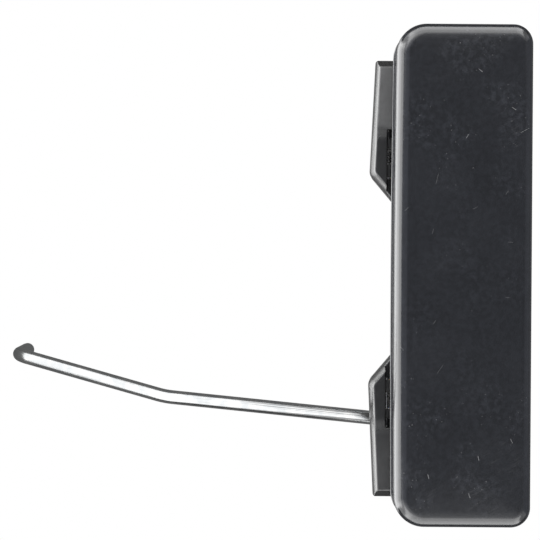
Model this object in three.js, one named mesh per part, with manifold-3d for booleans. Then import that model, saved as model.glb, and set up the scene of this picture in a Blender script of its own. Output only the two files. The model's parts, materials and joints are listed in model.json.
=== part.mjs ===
// Paddle lift handle: a long paddle hinged along one edge on two brackets, whose crank pulls a bent wire rod.
// Millimetres. X runs from the hinge edge to the free edge, Z runs up, and Y runs from the front to the door.
// The door skin's outer face is Y = 0, X = 0 is the line of the two studs, and Z = 0 is midway between them.
import * as THREE from 'three';
import { mergeVertices } from 'three/addons/utils/BufferGeometryUtils.js';
import Module from 'manifold-3d';

const wasm = await Module();
wasm.setup();

// ---- Driving dimensions ----

const HINGE = { x: -10.2, y: -9.7, pinRadius: 1.25, opening: 32 };
const GAP = 0.1; // between pieces that touch on the real handle

// The paddle is drawn from its hinge axis: left is towards the hinge, front and back are distances along Y.
const PADDLE = {
  left: 0.2, width: 41.1, length: 150, rise: 1.15,
  front: -21.3, back: -7.3,
  hingeCorner: 9, freeCorner: 6, frontRound: 4, wall: 2.4,
};
const BACK_PLATE = { thickness: 2.2, inset: 0.2, clearance: 0.25 };
const GROOVE = { left: 23, right: 38.2, halfLength: 58, depth: 3.2, wall: 1.8, corner: 5 };

// Brackets are drawn in the frame of the whole handle, for the upper side. The lower one is the mirror image.
const BRACKET = {
  edgeOuter: -14.3, edgeInner: -15.95, chamferFoot: -7, right: 6,
  outerEnd: 67.6, edgeInnerZ: 32.5, innerEnd: 22.1, step: 46,
  foot: -1.5, raised: -15.5, recessed: -14, corner: 1.7, edgeRound: 1.5,
  floor: -4.5, endBevelLength: 2.4, endBevelDrop: 3,
};
const POCKET = { left: 2.9, front: 2.9, opensAt: 1.0, inner: 31 }; // round the knuckles, from the hinge axis
const RELIEF = { left: -10.9, right: -9, start: 24.5, floor: -11.5 }; // in the recess, beside the paddle's edge
const GASKET = { thickness: 1.4, inset: 1 };

const ARM = {
  inner: 31.4, outer: 43.4, innerEar: 4, outerEar: 3,
  knuckle: 2.6, beamFront: -1.6, beamBack: 2.0, webStart: 3.4, legLeft: 6.5, legRight: 9.5,
  footRight: 23.5, footThickness: 2.5, gussetEnd: 12.2,
};
const BUSH = { outer: 1.95, inner: 1.33, bore: 2.0 };
const CRANK = { halfWidth: 2.6, lean: 1.5, reach: 21.7, eye: 4.5, bore: 3.1, bushOuter: 3.05, bushInner: 2.36 };

const ARM_SCREW = { at: [14.6, 19.5], shank: 1.15, head: 2.3, headHeight: 1.6, tip: -17.5 };
const PLATE_SCREW = { x: 20.7, fromCentre: 68, shank: 1.15, head: 2.5, sink: 1.4, tip: -16 };
const BOSS = { radius: 3.3, bore: 1.25, depth: 8 };
const SCREW_HOLE = 1.4;

const STUD = { z: 56.5, radius: 2.5, front: -10, back: 9.5, bore: 2.6 };
const WASHER = { outer: 5, inner: 2.7, front: 2.3, thickness: 1 };
const NUT = { acrossFlats: 8, bore: 2.6, front: 3.4, height: 4 };
const PEG = { x: -8.5, z: 61, radius: 2, back: 2.2, clearance: 0.3 };
const BUMP = { x: 1, z: 50.6, radius: 3, pocket: 3.2, floor: -14, front: -16.8 };

const SPRING = { coil: 2.1, wire: 0.4, turns: 3.25, pitch: 1.15, start: 36.03, armLeg: 5.6, floorLeg: 6.4 };

// The rod starts in the crank's eye, turns towards the latch, bends once and ends in a leg that points back.
// The leg rises a little, and its tip is square to the door.
const ROD = {
  radius: 2.3, pivotZ: -46.7, pinLength: 8.7, pinBend: 2.9,
  lowRun: 73, lowRise: 5.5, highRun: 50.6, highRise: 15.5, runBend: 30,
  leg: 13.8, legRise: 0.6, legBend: 3.3, tip: 2, tipBend: 10,
};
const CLIP = { outer: 3.9, inner: 2.35, thickness: 1, gap: 0.3 };

const SIDES = { small: 16, round: 24, wire: 12, spring: 6 };
const OVER = 1; // how far a cutting tool runs past the face that it cuts

// ---- Materials ----

function material(color, roughness, metalness) {
  return new THREE.MeshStandardMaterial({ color, roughness, metalness });
}

const satinPlastic = material(0x303134, 0.42, 0);
const bracketPlastic = material(0x2b2c2e, 0.5, 0);
const armMetal = material(0x242527, 0.55, 0.6);
const zincSteel = material(0xc9ccce, 0.3, 1);
const pinSteel = material(0x9fa2a5, 0.35, 1);
const springSteel = material(0x6d6f73, 0.35, 1);
const blackScrew = material(0x1d1e20, 0.4, 0.8);
const rubber = material(0x1a1a1a, 0.9, 0);
const acetal = material(0xe6e3da, 0.5, 0);

// ---- Solids ----

function toSolid(geometry) {
  const bare = geometry.clone();
  bare.deleteAttribute('normal');
  bare.deleteAttribute('uv');
  const merged = mergeVertices(bare, 1e-4);
  const vertProperties = Float32Array.from(merged.attributes.position.array);
  const triVerts = Uint32Array.from(merged.index.array);
  return new wasm.Manifold(new wasm.Mesh({ numProp: 3, vertProperties, triVerts }));
}

function toGeometry(solid) {
  const mesh = solid.getMesh();
  const geometry = new THREE.BufferGeometry();
  geometry.setAttribute('position', new THREE.BufferAttribute(mesh.vertProperties, 3));
  geometry.setIndex(new THREE.BufferAttribute(mesh.triVerts, 1));
  geometry.computeVertexNormals();
  return geometry;
}

function joined(first, ...others) {
  return others.reduce((whole, piece) => whole.add(piece), first);
}

function cut(first, ...tools) {
  return tools.reduce((whole, tool) => whole.subtract(tool), first);
}

function box([x0, x1], [y0, y1], [z0, z1]) {
  const geometry = new THREE.BoxGeometry(Math.abs(x1 - x0), Math.abs(y1 - y0), Math.abs(z1 - z0));
  return toSolid(geometry.translate((x0 + x1) / 2, (y0 + y1) / 2, (z0 + z1) / 2));
}

function roundAlongY(x, z, radius, [y0, y1], sides = SIDES.round) {
  const geometry = new THREE.CylinderGeometry(radius, radius, Math.abs(y1 - y0), sides);
  return toSolid(geometry.translate(x, (y0 + y1) / 2, z));
}

function roundAlongZ(x, y, radius, [z0, z1], sides = SIDES.round) {
  const geometry = new THREE.CylinderGeometry(radius, radius, Math.abs(z1 - z0), sides);
  return toSolid(geometry.rotateX(Math.PI / 2).translate(x, y, (z0 + z1) / 2));
}

// A closed outline whose corners, given as [x, z, radius], are rounded by arcs.
function roundedOutline(corners) {
  const shape = new THREE.Shape();
  corners.forEach(([x, z, radius], i) => {
    const at = new THREE.Vector2(x, z);
    const before = corners[(i + corners.length - 1) % corners.length];
    const after = corners[(i + 1) % corners.length];
    const towardsBefore = new THREE.Vector2(before[0], before[1]).sub(at).normalize();
    const towardsAfter = new THREE.Vector2(after[0], after[1]).sub(at).normalize();
    const halfAngle = Math.acos(towardsBefore.dot(towardsAfter)) / 2;
    const start = at.clone().addScaledVector(towardsBefore, radius / Math.tan(halfAngle));
    const end = at.clone().addScaledVector(towardsAfter, radius / Math.tan(halfAngle));
    const inwards = towardsBefore.clone().add(towardsAfter).normalize();
    const centre = at.clone().addScaledVector(inwards, radius / Math.sin(halfAngle));
    const clockwise = towardsBefore.cross(towardsAfter) > 0;
    const from = Math.atan2(start.y - centre.y, start.x - centre.x);
    const to = Math.atan2(end.y - centre.y, end.x - centre.x);
    shape.absarc(centre.x, centre.y, radius, from, to, clockwise);
  });
  return shape;
}

// An XZ outline made solid between two Y values. Its front edge is rounded by frontRound, if that is given.
function plate(shape, [front, back], frontRound = 0) {
  const geometry = new THREE.ExtrudeGeometry(shape, {
    depth: back - front - frontRound,
    curveSegments: 5,
    bevelEnabled: frontRound > 0,
    bevelThickness: frontRound,
    bevelSize: frontRound,
    bevelOffset: -frontRound,
    bevelSegments: 4,
  });
  const whole = toSolid(geometry.rotateX(Math.PI / 2).translate(0, back, 0));
  if (frontRound === 0) {
    return whole;
  }
  const reach = 200;
  return cut(whole, box([-reach, reach], [back, back + frontRound + OVER], [-reach, reach]));
}

// An XY outline made solid between two Z values.
function slabAlongZ(points, [z0, z1]) {
  const shape = new THREE.Shape(points.map(([x, y]) => new THREE.Vector2(x, y)));
  const geometry = new THREE.ExtrudeGeometry(shape, { depth: Math.abs(z1 - z0), bevelEnabled: false });
  return toSolid(geometry.translate(0, 0, Math.min(z0, z1)));
}

// A turned piece: its outline is given as [radius, y] from the axis and back to the axis, or closed on itself.
function turned(outline, x, z, sides = SIDES.round) {
  const points = outline.map(([radius, y]) => new THREE.Vector2(radius, y));
  return toSolid(new THREE.LatheGeometry(points, sides).translate(x, 0, z));
}

// Round wire through a list of points, with a ring of the wire's section at each point and flat ends.
function wire(points, radius, sides) {
  const last = points.length - 1;
  const tangentAt = (i) => points[Math.min(i + 1, last)].clone().sub(points[Math.max(i - 1, 0)]).normalize();
  const positions = [];
  let across = new THREE.Vector3(0.3, 0.5, 0.8);
  points.forEach((point, i) => {
    const tangent = tangentAt(i);
    across = across.clone().addScaledVector(tangent, -across.dot(tangent)).normalize();
    const up = tangent.clone().cross(across);
    for (let k = 0; k < sides; k += 1) {
      const angle = (2 * Math.PI * k) / sides;
      const corner = point.clone().addScaledVector(across, radius * Math.cos(angle));
      positions.push(...corner.addScaledVector(up, radius * Math.sin(angle)).toArray());
    }
  });
  const index = [];
  for (let i = 0; i < last; i += 1) {
    for (let k = 0; k < sides; k += 1) {
      const a = i * sides + k;
      const b = i * sides + ((k + 1) % sides);
      index.push(a, b, b + sides, a, b + sides, a + sides);
    }
  }
  for (let k = 1; k < sides - 1; k += 1) {
    index.push(0, k + 1, k, last * sides, last * sides + k, last * sides + k + 1);
  }
  const geometry = new THREE.BufferGeometry();
  geometry.setAttribute('position', new THREE.Float32BufferAttribute(positions, 3));
  geometry.setIndex(index);
  return toSolid(geometry);
}

// The points of a wire that runs straight between corners and turns each inner corner on an arc.
function bentPath(corners, bends, steps) {
  const points = [corners[0]];
  bends.forEach((radius, i) => {
    const corner = corners[i + 1];
    const arriving = corner.clone().sub(corners[i]).normalize();
    const leaving = corners[i + 2].clone().sub(corner).normalize();
    const angle = arriving.angleTo(leaving);
    const start = corner.clone().addScaledVector(arriving, -radius * Math.tan(angle / 2));
    const inwards = leaving.clone().addScaledVector(arriving, -leaving.dot(arriving)).normalize();
    for (let k = 0; k <= steps; k += 1) {
      const turn = (angle * k) / steps;
      const along = start.clone().addScaledVector(arriving, radius * Math.sin(turn));
      points.push(along.addScaledVector(inwards, radius * (1 - Math.cos(turn))));
    }
  });
  points.push(corners.at(-1));
  return points;
}

function named(name, solid, itsMaterial) {
  const mesh = new THREE.Mesh(toGeometry(solid), itsMaterial);
  mesh.name = name;
  return mesh;
}

// ---- Paddle, drawn from the hinge axis ----

function paddleOutline(inset) {
  const left = PADDLE.left + inset;
  const right = PADDLE.left + PADDLE.width - inset;
  const top = PADDLE.rise + PADDLE.length / 2 - inset;
  const bottom = PADDLE.rise - PADDLE.length / 2 + inset;
  const hingeCorner = PADDLE.hingeCorner - inset;
  const freeCorner = PADDLE.freeCorner - inset;
  return roundedOutline([
    [left, bottom, hingeCorner],
    [right, bottom, freeCorner],
    [right, top, freeCorner],
    [left, top, hingeCorner],
  ]);
}

function grooveOutline(inset) {
  const { left, right, halfLength, corner } = GROOVE;
  const low = PADDLE.rise - halfLength + inset;
  const high = PADDLE.rise + halfLength - inset;
  const radius = corner - inset;
  return roundedOutline([
    [left + inset, low, radius],
    [right - inset, low, radius],
    [right - inset, high, radius],
    [left + inset, high, radius],
  ]);
}

const armMiddle = (ARM.inner + ARM.outer) / 2;
const armScrewPlaces = ARM_SCREW.at.flatMap((x) => [[x, armMiddle], [x, -armMiddle]]);
const plateScrewPlaces = [1, -1].map((side) => [PLATE_SCREW.x, PADDLE.rise + side * PLATE_SCREW.fromCentre]);
const screwPlaces = [...armScrewPlaces, ...plateScrewPlaces];
const plateBack = PADDLE.back - BACK_PLATE.inset;
const plateFront = plateBack - BACK_PLATE.thickness;

function paddleCover() {
  const shell = cut(
    plate(paddleOutline(0), [PADDLE.front, PADDLE.back], PADDLE.frontRound),
    plate(paddleOutline(PADDLE.wall), [PADDLE.front + PADDLE.wall, PADDLE.back + OVER]),
  );
  const bossTop = plateFront - GAP;
  const bosses = screwPlaces.map(([x, z]) => (
    roundAlongY(x, z, BOSS.radius, [PADDLE.front + PADDLE.wall - GAP, bossTop], SIDES.small)));
  const bores = screwPlaces.map(([x, z]) => (
    roundAlongY(x, z, BOSS.bore, [bossTop - BOSS.depth, bossTop + OVER], SIDES.small)));
  return cut(joined(shell, ...bosses), ...bores);
}

function backPlate() {
  const slab = plate(paddleOutline(PADDLE.wall + BACK_PLATE.clearance), [plateFront, plateBack]);
  const grooveFloor = plateBack - GROOVE.depth;
  const tray = plate(grooveOutline(0), [grooveFloor - GROOVE.wall, plateBack]);
  const hollow = plate(grooveOutline(GROOVE.wall), [grooveFloor, plateBack + OVER]);
  const holes = screwPlaces.map(([x, z]) => (
    roundAlongY(x, z, SCREW_HOLE, [plateFront - OVER, plateBack + OVER], SIDES.small)));
  const sinks = plateScrewPlaces.map(([x, z]) => turned([
    [0, plateBack - PLATE_SCREW.sink - GAP],
    [SCREW_HOLE, plateBack - PLATE_SCREW.sink - GAP],
    [PLATE_SCREW.head + GAP, plateBack],
    [PLATE_SCREW.head + GAP, plateBack + OVER],
    [0, plateBack + OVER],
  ], x, z));
  return cut(joined(slab, tray), hollow, ...holes, ...sinks);
}

function hexSocket(x, z, [front, back]) {
  return roundAlongY(x, z, 1.2, [front, back + OVER], 6);
}

function armScrew([x, z]) {
  const seat = plateBack + GAP + ARM.footThickness + GAP;
  const top = seat + ARM_SCREW.headHeight;
  const head = roundAlongY(x, z, ARM_SCREW.head, [seat, top]);
  const shank = roundAlongY(x, z, ARM_SCREW.shank, [ARM_SCREW.tip, seat + GAP], SIDES.small);
  return cut(joined(head, shank), hexSocket(x, z, [top - 1, top]));
}

function plateScrew([x, z]) {
  const neck = plateBack - PLATE_SCREW.sink;
  const body = turned([
    [0, PLATE_SCREW.tip], [PLATE_SCREW.shank, PLATE_SCREW.tip], [PLATE_SCREW.shank, neck],
    [PLATE_SCREW.head, plateBack], [0, plateBack],
  ], x, z);
  return cut(body, hexSocket(x, z, [plateBack - 1, plateBack]));
}

function hingeArm(side) {
  const foot = plateBack + GAP;
  const profile = [
    [0, ARM.beamFront], [ARM.legLeft, ARM.beamFront], [ARM.legLeft, foot], [ARM.gussetEnd, foot],
    [ARM.gussetEnd, foot + ARM.footThickness], [ARM.legRight, ARM.beamBack], [0, ARM.beamBack],
  ];
  const ears = [[ARM.inner, ARM.inner + ARM.innerEar], [ARM.outer - ARM.outerEar, ARM.outer]];
  const earSolids = ears.flatMap(([from, to]) => {
    const span = [side * from, side * to];
    return [slabAlongZ(profile, span), roundAlongZ(0, 0, ARM.knuckle, span)];
  });
  const wide = [side * ARM.inner, side * ARM.outer];
  const web = box([ARM.webStart, ARM.legRight], [ARM.beamFront, ARM.beamBack], wide);
  const leg = box([ARM.legLeft, ARM.legRight], [foot, ARM.beamBack], wide);
  const sole = box([ARM.legLeft, ARM.footRight], [foot, foot + ARM.footThickness], wide);
  const bore = roundAlongZ(0, 0, BUSH.bore, [side * (ARM.inner - OVER), side * (ARM.outer + OVER)]);
  const holes = ARM_SCREW.at.map((x) => (
    roundAlongY(x, side * armMiddle, SCREW_HOLE, [foot - OVER, foot + ARM.footThickness + OVER], SIDES.small)));
  return cut(joined(web, leg, sole, ...earSolids), bore, ...holes);
}

function crankArm() {
  const span = [-(ARM.outer - ARM.outerEar), -ARM.outer];
  const { halfWidth, lean, reach } = CRANK;
  const lever = slabAlongZ([
    [-halfWidth, 0], [halfWidth, 0], [lean + halfWidth, reach], [lean - halfWidth, reach],
  ], span);
  const eye = roundAlongZ(lean, reach, CRANK.eye, span);
  const through = [span[0] + OVER, span[1] - OVER];
  const boreForRod = roundAlongZ(lean, reach, CRANK.bore, through);
  const boreForBush = roundAlongZ(0, 0, BUSH.bore, through);
  return cut(joined(hingeArm(-1), lever, eye), boreForRod, boreForBush);
}

function sleeve(x, y, outer, inner, [z0, z1]) {
  const middle = (z0 + z1) / 2;
  const reach = Math.abs(z1 - z0) / 2 + OVER;
  return cut(roundAlongZ(x, y, outer, [z0, z1]), roundAlongZ(x, y, inner, [middle - reach, middle + reach]));
}

function paddleGroup() {
  const group = new THREE.Group();
  group.position.set(HINGE.x, HINGE.y, 0);
  group.add(named('paddle_cover', paddleCover(), satinPlastic));
  group.add(named('back_plate', backPlate(), bracketPlastic));
  group.add(named('upper_hinge_arm', hingeArm(1), armMetal));
  group.add(named('lower_hinge_arm', crankArm(), armMetal));
  armScrewPlaces.forEach((place, i) => group.add(named(`arm_screw_${i + 1}`, armScrew(place), blackScrew)));
  plateScrewPlaces.forEach((place, i) => group.add(named(`plate_screw_${i + 1}`, plateScrew(place), blackScrew)));
  for (const [end, side] of [['upper', 1], ['lower', -1]]) {
    const innerSpan = [side * ARM.inner, side * (ARM.inner + ARM.innerEar)];
    const outerSpan = [side * (ARM.outer - ARM.outerEar), side * ARM.outer];
    group.add(named(`${end}_inner_bush`, sleeve(0, 0, BUSH.outer, BUSH.inner, innerSpan), acetal));
    group.add(named(`${end}_outer_bush`, sleeve(0, 0, BUSH.outer, BUSH.inner, outerSpan), acetal));
  }
  const crankSpan = [-ARM.outer, -(ARM.outer - ARM.outerEar)];
  const crankBush = sleeve(CRANK.lean, CRANK.reach, CRANK.bushOuter, CRANK.bushInner, crankSpan);
  group.add(named('crank_bush', crankBush, acetal));
  return group;
}

// ---- Brackets and what is fastened to them, drawn in the handle's own frame ----

// The bracket's left edge leans in towards its outer end. This is its X at a height.
function edgeAt(z) {
  const lean = (BRACKET.edgeOuter - BRACKET.edgeInner) / (BRACKET.outerEnd - BRACKET.edgeInnerZ);
  return BRACKET.edgeInner + lean * (z - BRACKET.edgeInnerZ);
}

// The bracket's outline, with its sides and ends drawn in by an inset.
function bracketOutline(side, inset = 0) {
  const outerEnd = side * (BRACKET.outerEnd - inset);
  const innerEnd = side * (BRACKET.innerEnd + inset);
  return roundedOutline([
    [BRACKET.edgeOuter + inset, outerEnd, BRACKET.corner],
    [BRACKET.edgeInner + inset, side * BRACKET.edgeInnerZ, 2 * BRACKET.corner],
    [BRACKET.chamferFoot, innerEnd, 2 * BRACKET.corner],
    [BRACKET.right - inset, innerEnd, BRACKET.corner],
    [BRACKET.right - inset, outerEnd, BRACKET.corner],
  ]);
}

function raisedOutline(side) {
  return roundedOutline([
    [BRACKET.edgeOuter, side * BRACKET.outerEnd, BRACKET.corner],
    [edgeAt(BRACKET.step), side * BRACKET.step, BRACKET.corner],
    [BRACKET.right, side * BRACKET.step, BRACKET.corner],
    [BRACKET.right, side * BRACKET.outerEnd, BRACKET.corner],
  ]);
}

function crankSlot([front, back]) {
  const left = HINGE.x - POCKET.left;
  const furthest = THREE.MathUtils.degToRad(HINGE.opening) + Math.atan(CRANK.lean / CRANK.reach);
  const swing = CRANK.halfWidth + Math.tan(furthest) * (back - HINGE.y);
  const play = 1;
  const top = -(ARM.outer - ARM.outerEar) + play;
  return box([left, HINGE.x + swing + play], [front - OVER, back + OVER], [top, -ARM.outer - play]);
}

function bracket(side) {
  const span = (from, to) => [side * from, side * to];
  const body = plate(bracketOutline(side), [BRACKET.recessed, BRACKET.foot], BRACKET.edgeRound);
  const block = plate(raisedOutline(side), [BRACKET.raised, BRACKET.foot], BRACKET.edgeRound);
  const peg = roundAlongY(PEG.x, side * PEG.z, PEG.radius, [BRACKET.foot - OVER, PEG.back], SIDES.small);

  const knuckleLeft = HINGE.x - POCKET.left;
  const mouth = HINGE.x + POCKET.opensAt;
  const pocketZ = span(POCKET.inner, BRACKET.step);
  const knucklePocket = box([knuckleLeft, mouth + OVER], [HINGE.y - POCKET.front, BRACKET.floor], pocketZ);
  const armMouth = box([mouth, BRACKET.right + OVER], [BRACKET.raised - OVER, BRACKET.floor], pocketZ);
  const boss = roundAlongZ(HINGE.x, HINGE.y, ARM.knuckle, span(ARM.outer + 0.3, BRACKET.step + OVER));

  const pinBore = roundAlongZ(HINGE.x, HINGE.y, HINGE.pinRadius + GAP, span(29.3, BRACKET.outerEnd + OVER));
  const studBore = roundAlongY(0, side * STUD.z, STUD.bore, [STUD.front - GAP, BRACKET.foot + OVER]);
  const bumpPocket = roundAlongY(BUMP.x, side * BUMP.z, BUMP.pocket, [BRACKET.raised - OVER, BUMP.floor]);

  const endY = BRACKET.raised;
  const reach = 40;
  const endBevel = new THREE.Shape([
    new THREE.Vector2(BRACKET.outerEnd - BRACKET.endBevelLength, endY - OVER),
    new THREE.Vector2(BRACKET.outerEnd - BRACKET.endBevelLength, endY),
    new THREE.Vector2(BRACKET.outerEnd, endY + BRACKET.endBevelDrop),
    new THREE.Vector2(BRACKET.outerEnd + OVER, endY - OVER),
  ]);
  const bevelGeometry = new THREE.ExtrudeGeometry(endBevel, { depth: reach, bevelEnabled: false });
  const toEnd = new THREE.Matrix4().makeBasis(
    new THREE.Vector3(0, 0, 1),
    new THREE.Vector3(0, 1, 0),
    new THREE.Vector3(-1, 0, 0),
  );
  bevelGeometry.applyMatrix4(toEnd).translate(reach / 2, 0, 0);
  if (side < 0) {
    bevelGeometry.rotateY(Math.PI);
  }

  const reliefSpan = [BRACKET.raised - OVER, RELIEF.floor];
  const relief = box([RELIEF.left, RELIEF.right], reliefSpan, span(RELIEF.start, BRACKET.step));
  const hollow = cut(joined(body, block), knucklePocket, armMouth, relief, toSolid(bevelGeometry));
  return cut(joined(hollow, boss, peg), pinBore, studBore, bumpPocket);
}

function springSeat() {
  const left = HINGE.x - POCKET.left;
  const width = 2 * (SPRING.wire + 0.4);
  const depth = HINGE.y + SPRING.floorLeg + 0.3;
  const low = SPRING.start - SPRING.wire - 0.3;
  return box([left, left + width], [BRACKET.floor - OVER, depth], [low, low + 2 * (SPRING.wire + 0.3)]);
}

function gasket(side) {
  const sheet = plate(bracketOutline(side, GASKET.inset), [-GASKET.thickness, 0]);
  const through = [-GASKET.thickness - OVER, OVER];
  const studHole = roundAlongY(0, side * STUD.z, STUD.radius + PEG.clearance, through, SIDES.small);
  const pegHole = roundAlongY(PEG.x, side * PEG.z, PEG.radius + PEG.clearance, through, SIDES.small);
  const trimmed = cut(sheet, studHole, pegHole);
  return side > 0 ? trimmed : cut(trimmed, crankSlot([-GASKET.thickness, 0]));
}

function stud(side) {
  const { radius, front, back } = STUD;
  const chamfer = 0.6;
  return turned([
    [0, front], [radius, front], [radius, back - chamfer], [radius - chamfer, back], [0, back],
  ], 0, side * STUD.z);
}

function washer(side) {
  const span = [WASHER.front, WASHER.front + WASHER.thickness];
  const hole = [WASHER.front - OVER, WASHER.front + WASHER.thickness + OVER];
  return cut(roundAlongY(0, side * STUD.z, WASHER.outer, span), roundAlongY(0, side * STUD.z, WASHER.inner, hole));
}

function nut(side) {
  const span = [NUT.front, NUT.front + NUT.height];
  const acrossCorners = NUT.acrossFlats / Math.cos(Math.PI / 6);
  const hexagon = roundAlongY(0, side * STUD.z, acrossCorners / 2, span, 6);
  return cut(hexagon, roundAlongY(0, side * STUD.z, NUT.bore, [span[0] - OVER, span[1] + OVER]));
}

function bumpStop(side) {
  const { radius, floor, front } = BUMP;
  const edge = 0.5;
  return turned([
    [0, front], [radius - edge, front], [radius, front + edge], [radius, floor - GAP], [0, floor - GAP],
  ], BUMP.x, side * BUMP.z);
}

function returnSpring() {
  const { coil, turns, pitch, start } = SPRING;
  const stepsPerTurn = 12;
  const at = (x, y, z) => new THREE.Vector3(HINGE.x + x, HINGE.y + y, z);
  const points = [at(-coil, SPRING.floorLeg, start)];
  for (let i = 0; i <= turns * stepsPerTurn; i += 1) {
    const turn = i / stepsPerTurn;
    const angle = Math.PI + 2 * Math.PI * turn;
    points.push(at(coil * Math.cos(angle), coil * Math.sin(angle), start + pitch * turn));
  }
  points.push(at(SPRING.armLeg, -coil, start + pitch * turns));
  return wire(points, SPRING.wire, SIDES.spring);
}

function bracketsGroup() {
  const group = new THREE.Group();
  for (const [end, side] of [['upper', 1], ['lower', -1]]) {
    const opening = side > 0 ? springSeat() : crankSlot([BRACKET.floor, BRACKET.foot]);
    const pinSpan = [side * 29.5, side * (BRACKET.outerEnd - 1)];
    group.add(named(`${end}_bracket`, cut(bracket(side), opening), bracketPlastic));
    group.add(named(`${end}_gasket`, gasket(side), rubber));
    group.add(named(`${end}_hinge_pin`, roundAlongZ(HINGE.x, HINGE.y, HINGE.pinRadius, pinSpan), pinSteel));
    group.add(named(`${end}_bump_stop`, bumpStop(side), rubber));
    group.add(named(`${end}_stud`, stud(side), zincSteel));
    group.add(named(`${end}_washer`, washer(side), zincSteel));
    group.add(named(`${end}_nut`, nut(side), zincSteel));
  }
  group.add(named('return_spring', returnSpring(), springSteel));
  return group;
}

// ---- Link rod, drawn from its corner in line with the crank's eye ----

function linkRod() {
  const direction = (degrees) => {
    const angle = THREE.MathUtils.degToRad(degrees);
    return new THREE.Vector3(-Math.cos(angle), 0, Math.sin(angle));
  };
  const pinEnd = new THREE.Vector3(0, 0, ROD.pinLength);
  const corner = new THREE.Vector3(0, 0, 0);
  const bend = corner.clone().addScaledVector(direction(ROD.lowRise), ROD.lowRun);
  const legCorner = bend.clone().addScaledVector(direction(ROD.highRise), ROD.highRun);
  const tipStart = legCorner.clone().add(new THREE.Vector3(0, ROD.leg, ROD.legRise));
  const tipEnd = tipStart.clone().add(new THREE.Vector3(0, ROD.tip, 0));
  const corners = [pinEnd, corner, bend, legCorner, tipStart, tipEnd];
  const bends = [ROD.pinBend, ROD.runBend, ROD.legBend, ROD.tipBend];
  return wire(bentPath(corners, bends, 6), ROD.radius, SIDES.wire);
}

function linkGroup() {
  const group = new THREE.Group();
  group.position.set(HINGE.x + CRANK.lean, HINGE.y + CRANK.reach, ROD.pivotZ);
  const clipLow = -(ARM.outer - ARM.outerEar) + CLIP.gap - ROD.pivotZ;
  const clipSpan = [clipLow, clipLow + CLIP.thickness];
  group.add(named('link_rod', linkRod(), zincSteel));
  group.add(named('rod_clip', sleeve(0, 0, CLIP.outer, CLIP.inner, clipSpan), springSteel));
  return group;
}

const handle = new THREE.Group();
handle.add(bracketsGroup(), paddleGroup(), linkGroup());

export default handle;
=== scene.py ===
import json
import math

import bmesh
import bpy
from mathutils import Matrix, Vector


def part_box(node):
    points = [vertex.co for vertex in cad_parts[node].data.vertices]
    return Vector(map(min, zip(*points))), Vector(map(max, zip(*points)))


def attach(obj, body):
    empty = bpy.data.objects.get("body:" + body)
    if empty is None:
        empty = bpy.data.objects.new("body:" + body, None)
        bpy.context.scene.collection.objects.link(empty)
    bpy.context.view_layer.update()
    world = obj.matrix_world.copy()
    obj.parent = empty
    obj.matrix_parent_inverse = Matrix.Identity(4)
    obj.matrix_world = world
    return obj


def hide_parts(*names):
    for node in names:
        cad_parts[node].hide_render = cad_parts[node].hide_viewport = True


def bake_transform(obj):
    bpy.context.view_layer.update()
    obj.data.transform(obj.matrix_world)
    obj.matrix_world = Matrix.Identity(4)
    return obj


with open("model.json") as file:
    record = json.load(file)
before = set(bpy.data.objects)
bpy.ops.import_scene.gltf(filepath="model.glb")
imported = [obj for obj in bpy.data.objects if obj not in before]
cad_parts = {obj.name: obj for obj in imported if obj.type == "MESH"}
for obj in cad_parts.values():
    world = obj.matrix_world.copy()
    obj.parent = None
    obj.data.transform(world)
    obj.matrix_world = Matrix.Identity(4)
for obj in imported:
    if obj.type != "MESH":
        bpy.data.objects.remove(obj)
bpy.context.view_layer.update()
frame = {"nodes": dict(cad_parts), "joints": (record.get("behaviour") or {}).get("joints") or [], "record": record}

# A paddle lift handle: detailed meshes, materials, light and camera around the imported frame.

MM = 0.001
JOINTS = {joint["name"]: joint for joint in frame["joints"]}
HINGE = Vector(JOINTS["paddle_hinge"]["pos_m"])
PIVOT = Vector(JOINTS["rod_pivot"]["pos_m"])
SLOT_OF = {row["node"]: row["material_slot"] for row in frame["record"]["subparts"]}
BODY_OF = {
    node: body
    for body, nodes in frame["record"]["behaviour"]["bodies"].items()
    for node in nodes
}
SIDES = {"upper": 1, "lower": -1}


# ---- Node trees ----

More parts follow.
